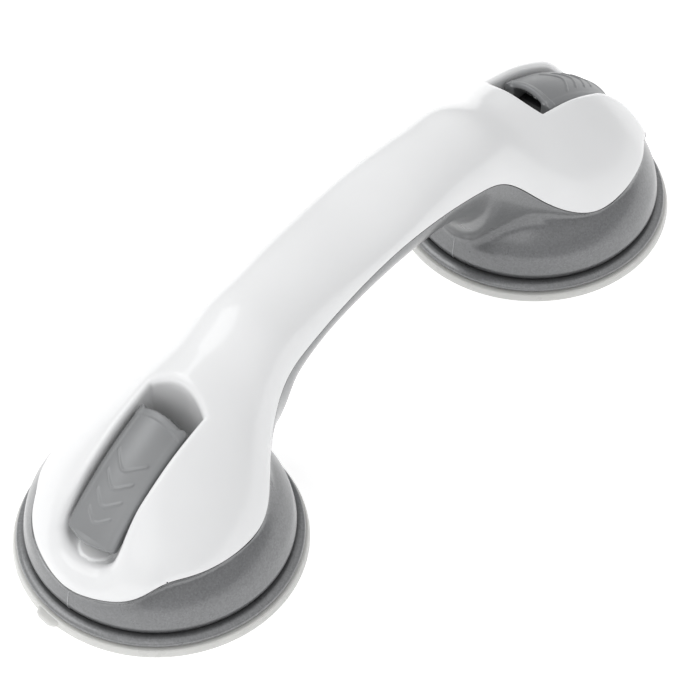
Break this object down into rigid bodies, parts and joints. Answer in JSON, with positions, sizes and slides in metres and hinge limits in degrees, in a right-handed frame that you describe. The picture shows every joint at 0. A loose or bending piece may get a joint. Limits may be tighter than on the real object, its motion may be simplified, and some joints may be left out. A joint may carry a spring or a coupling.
{
  "type": "suction grab bar",
  "caption": "Bridge-shaped grab handle on two round suction cups, each locked to a smooth wall by a flip lever in the top of its dome.",
  "frame": {"origin": "middle of the bar, on the wall plane that both cup rims rest on", "axes": "+X along the handle from the left cup to the right cup, +Z away from the wall"},
  "size_m": [0.3036, 0.099, 0.0786],
  "materials": {
    "white_shell": "glossy moulded white ABS",
    "grey_shell": "glossy grey ABS with a fine pearl speckle",
    "lever": "satin grey ABS",
    "soft_cup": "soft translucent vinyl, slightly warm",
    "steel": "bright zinc-plated or stainless steel",
    "acetal": "black acetal"
  },
  "bodies": {
    "base": {"upper_shell": "white_shell", "lower_shell": "grey_shell", "left_base_ring": "grey_shell", "left_suction_cup": "soft_cup", "left_cam_plate": "steel", "left_guide_bush": "acetal", "left_spring_seat": "steel", "left_spring": "steel", "left_shell_screw_1": "steel", "left_shell_screw_2": "steel", "left_ring_screw_1": "steel", "left_ring_screw_2": "steel", "left_ring_screw_3": "steel", "right_base_ring": "grey_shell", "right_suction_cup": "soft_cup", "right_cam_plate": "steel", "right_guide_bush": "acetal", "right_spring_seat": "steel", "right_spring": "steel", "right_shell_screw_1": "steel", "right_shell_screw_2": "steel", "right_ring_screw_1": "steel", "right_ring_screw_2": "steel", "right_ring_screw_3": "steel"},
    "left_stem": {"left_stem": "acetal", "left_hinge_pin": "steel"},
    "left_lever": {"left_lever": "lever"},
    "right_stem": {"right_stem": "acetal", "right_hinge_pin": "steel"},
    "right_lever": {"right_lever": "lever"}
  },
  "joints": [
    {"name": "left_stem_slide", "type": "slide", "parent": "base", "child": "left_stem", "axis": [0, 0, -1], "range_m": [0, 0.0031], "deforming": ["left_spring", "left_suction_cup"]},
    {"name": "left_lever_hinge", "type": "hinge", "parent": "left_stem", "child": "left_lever", "pos_m": [-0.1002, 0, 0.0465], "axis": [0, 1, 0], "range_deg": [0, 90]},
    {"name": "right_stem_slide", "type": "slide", "parent": "base", "child": "right_stem", "axis": [0, 0, -1], "range_m": [0, 0.0031], "deforming": ["right_spring", "right_suction_cup"]},
    {"name": "right_lever_hinge", "type": "hinge", "parent": "right_stem", "child": "right_lever", "pos_m": [0.1002, 0, 0.0465], "axis": [0, -1, 0], "range_deg": [0, 90]}
  ],
  "couplings": [
    {"joint": "left_stem_slide", "follows": "left_lever_hinge", "m_per_rad": 0.0019099},
    {"joint": "right_stem_slide", "follows": "right_lever_hinge", "m_per_rad": 0.0019099}
  ]
}
